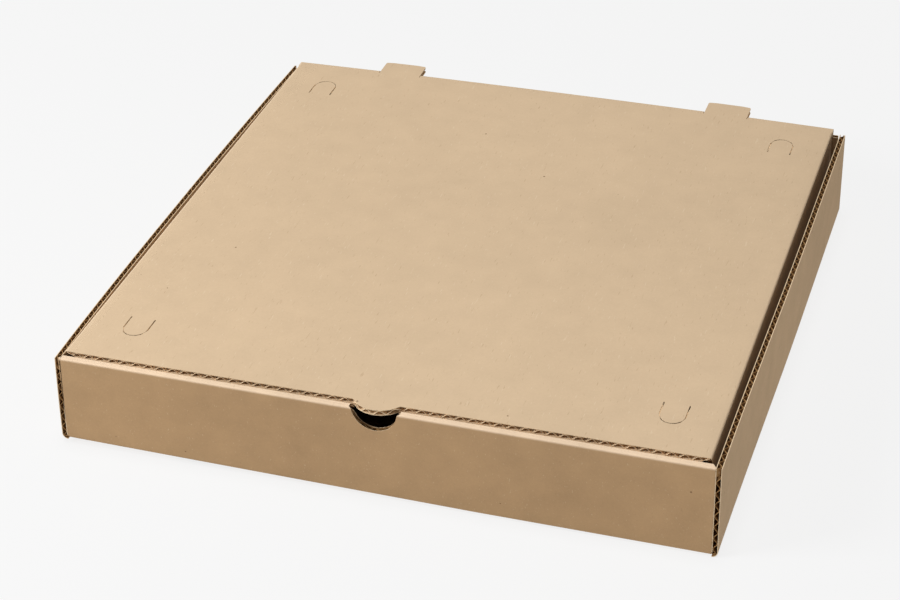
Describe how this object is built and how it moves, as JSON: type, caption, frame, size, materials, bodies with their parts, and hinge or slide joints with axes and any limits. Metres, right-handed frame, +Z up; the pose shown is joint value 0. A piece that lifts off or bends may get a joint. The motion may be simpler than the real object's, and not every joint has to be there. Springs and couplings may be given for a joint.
{
  "type": "corrugated pizza box",
  "caption": "Flat square corrugated kraft take-away box: a tray with a rolled front wall and thumb notch, a hinged lid with vent flaps and rear tabs.",
  "frame": {"origin": "middle of the tray's underside, on the table", "axes": "+X to the box's right, +Y to its back where the lid hinges, +Z up"},
  "size_m": [0.336, 0.3487, 0.0525],
  "materials": {
    "kraft_board": "uncoated brown kraft liner, matt"
  },
  "bodies": {
    "tray_body": {"tray": "kraft_board"},
    "lid_body": {"lid": "kraft_board"},
    "vent_front_left": {"vent_flap_front_left": "kraft_board"},
    "vent_front_right": {"vent_flap_front_right": "kraft_board"},
    "vent_rear_left": {"vent_flap_rear_left": "kraft_board"},
    "vent_rear_right": {"vent_flap_rear_right": "kraft_board"}
  },
  "joints": [
    {"name": "lid_hinge", "type": "hinge", "parent": "tray_body", "child": "lid_body", "pos_m": [0, 0.168, 0.0525], "axis": [-1, 0, 0], "range_deg": [0, 180]},
    {"name": "vent_front_left_hinge", "type": "hinge", "parent": "lid_body", "child": "vent_front_left", "pos_m": [-0.1377, -0.1235, 0.0495], "axis": [1, 0, 0], "range_deg": [0, 80]},
    {"name": "vent_front_right_hinge", "type": "hinge", "parent": "lid_body", "child": "vent_front_right", "pos_m": [0.1377, -0.1235, 0.0495], "axis": [1, 0, 0], "range_deg": [0, 80]},
    {"name": "vent_rear_left_hinge", "type": "hinge", "parent": "lid_body", "child": "vent_rear_left", "pos_m": [-0.1377, 0.13, 0.0495], "axis": [-1, 0, 0], "range_deg": [0, 80]},
    {"name": "vent_rear_right_hinge", "type": "hinge", "parent": "lid_body", "child": "vent_rear_right", "pos_m": [0.1377, 0.13, 0.0495], "axis": [-1, 0, 0], "range_deg": [0, 80]}
  ]
}
